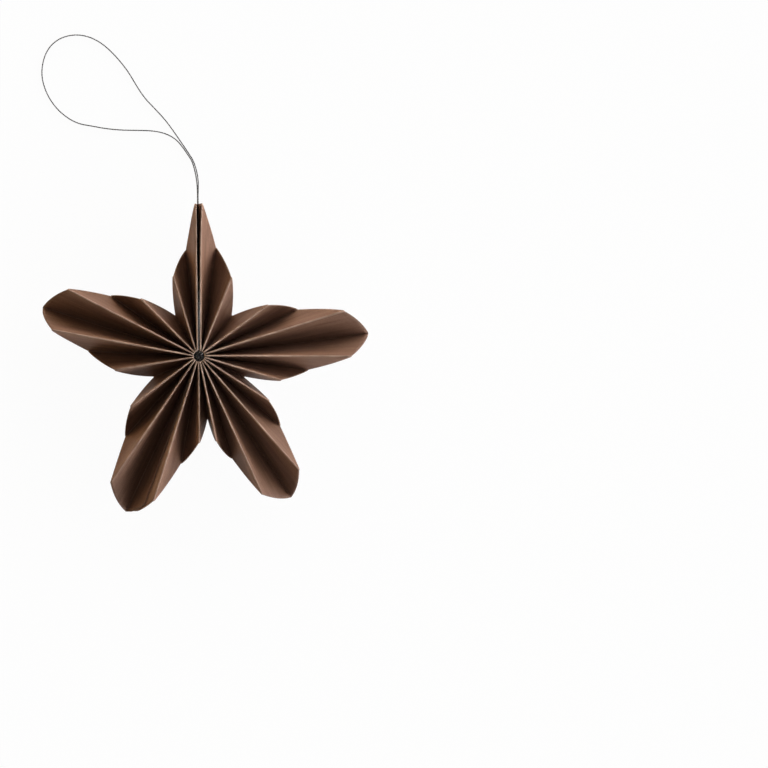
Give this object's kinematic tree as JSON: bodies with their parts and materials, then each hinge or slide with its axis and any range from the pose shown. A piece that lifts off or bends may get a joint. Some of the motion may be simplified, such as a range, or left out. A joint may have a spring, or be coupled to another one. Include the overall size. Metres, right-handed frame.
{
  "type": "pleated paper star ornament",
  "caption": "Flat star of fan-pleated card with slanted cut edges, gathered round a small eye, with a thin metallic cord loop to hang it by.",
  "frame": {"origin": "on the star's axis, in the plane that its back lies on", "axes": "+Z out of the front, +Y towards the arm with the hanging cord, +X to the right seen from the front"},
  "size_m": [0.1514, 0.2208, 0.0163],
  "materials": {
    "brown_card": "matt, dark taupe",
    "brown_thread": "matt",
    "silver_cord": "metallised yarn"
  },
  "bodies": {
    "root": {"long_pleated_strip": "brown_card", "short_pleated_strip": "brown_card", "tie_thread": "brown_thread", "cord_knot": "silver_cord", "lower_cord_strand": "silver_cord", "upper_cord_strand": "silver_cord", "hanging_loop": "silver_cord"}
  },
  "joints": []
}
